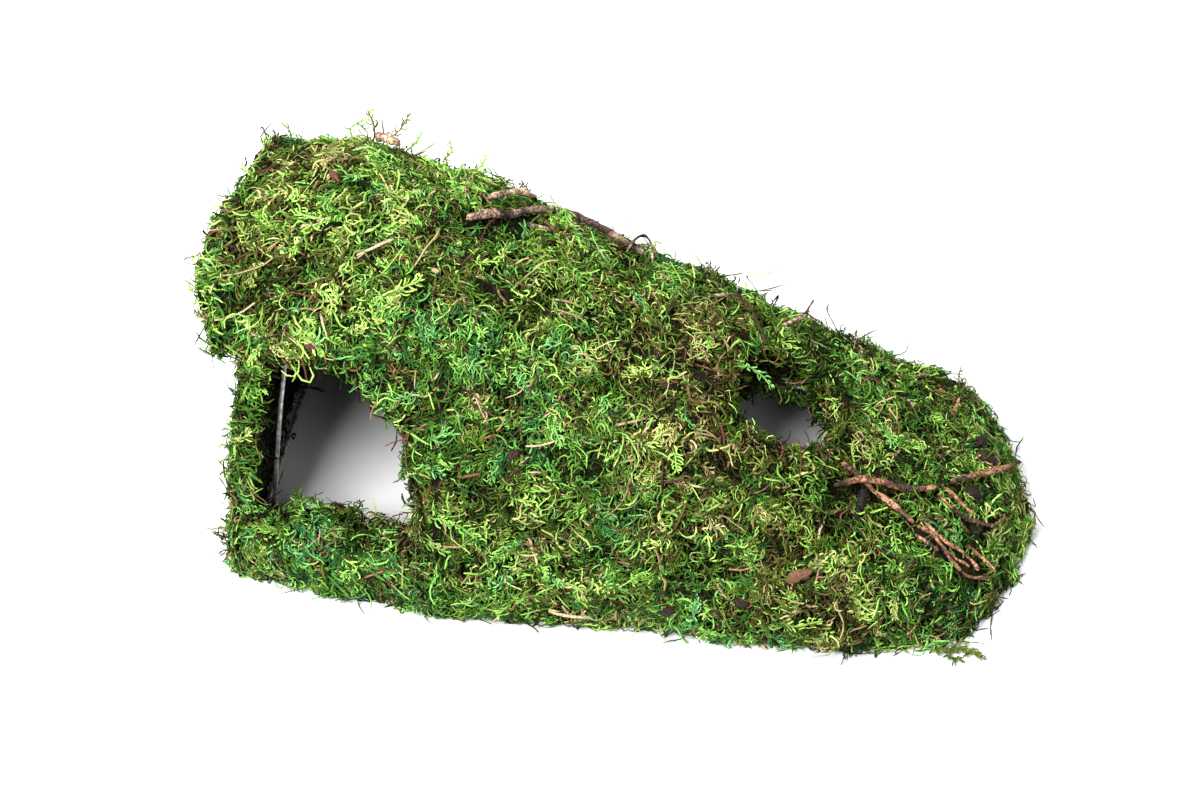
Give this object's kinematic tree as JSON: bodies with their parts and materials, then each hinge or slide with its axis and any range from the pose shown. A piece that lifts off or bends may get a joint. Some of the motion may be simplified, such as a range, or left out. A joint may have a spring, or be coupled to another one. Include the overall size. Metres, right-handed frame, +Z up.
{
  "type": "moss-covered cave hide",
  "caption": "Tapered half-log hide for a terrarium: a wire frame covered with sheet moss, open underneath, with a front opening, a roof hole and tied-on vine and twigs.",
  "frame": {"origin": "on the ground, under the middle of the object's bounding box", "axes": "+X along the length, from the tall head with the front opening to the low nose; the front faces -Y; +Z is up"},
  "size_m": [0.344, 0.1758, 0.1554],
  "materials": {
    "moss_fresh": "preserved sheet moss, fresh green fronds with lime tips over near-black gaps",
    "moss_olive": "preserved sheet moss, olive and yellow-green",
    "moss_brown": "preserved sheet moss, thin, with brown stems and soil showing",
    "moss_teal": "preserved sheet moss, bluish green",
    "steel_wire": "drawn wire, dull grey",
    "nylon_thread": "clear thread",
    "vine_bark": "dry bark, rough"
  },
  "bodies": {
    "root": {"moss_brow": "moss_fresh", "moss_head_lip": "moss_fresh", "moss_head_roof": "moss_fresh", "moss_front_wall": "moss_fresh", "moss_middle_roof": "moss_fresh", "moss_nose_front": "moss_fresh", "moss_nose_tip": "moss_fresh", "moss_front_post": "moss_olive", "moss_head_back": "moss_olive", "moss_opening_jamb": "moss_olive", "moss_back_wall": "moss_olive", "moss_hole_back": "moss_olive", "moss_back_wall_low": "moss_olive", "moss_nose_back": "moss_olive", "moss_end_wall": "moss_brown", "moss_hole_front": "moss_brown", "moss_sill": "moss_teal", "moss_front_base_roll": "moss_teal", "base_ring_wire": "steel_wire", "end_hoop_wire": "steel_wire", "rib_wire_1": "steel_wire", "rib_wire_2": "steel_wire", "rib_wire_3": "steel_wire", "rib_wire_4": "steel_wire", "ridge_wire": "steel_wire", "front_stringer_wire": "steel_wire", "back_stringer_wire": "steel_wire", "hole_ring_wire": "steel_wire", "nose_bow_wire": "steel_wire", "binding_thread_1": "nylon_thread", "binding_thread_2": "nylon_thread", "nose_tie_thread_1": "nylon_thread", "nose_tie_thread_2": "nylon_thread", "ridge_vine": "vine_bark", "ridge_vine_branch": "vine_bark", "ridge_vine_fork": "vine_bark", "ridge_tendril": "vine_bark", "head_twig_stub": "vine_bark", "back_ridge_twig": "vine_bark", "back_ridge_sprig": "vine_bark", "nose_sprig": "vine_bark", "nose_twig_upper": "vine_bark", "nose_twig_upper_fork": "vine_bark", "nose_twig_low_fork": "vine_bark", "nose_twig_tip": "vine_bark", "nose_twig_lower": "vine_bark", "nose_twig_strand_low": "vine_bark", "nose_twig_strand_middle": "vine_bark", "nose_twig_strand_high": "vine_bark", "nose_twig_strand_inner": "vine_bark", "nose_twig_strand_outer": "vine_bark"}
  },
  "joints": []
}
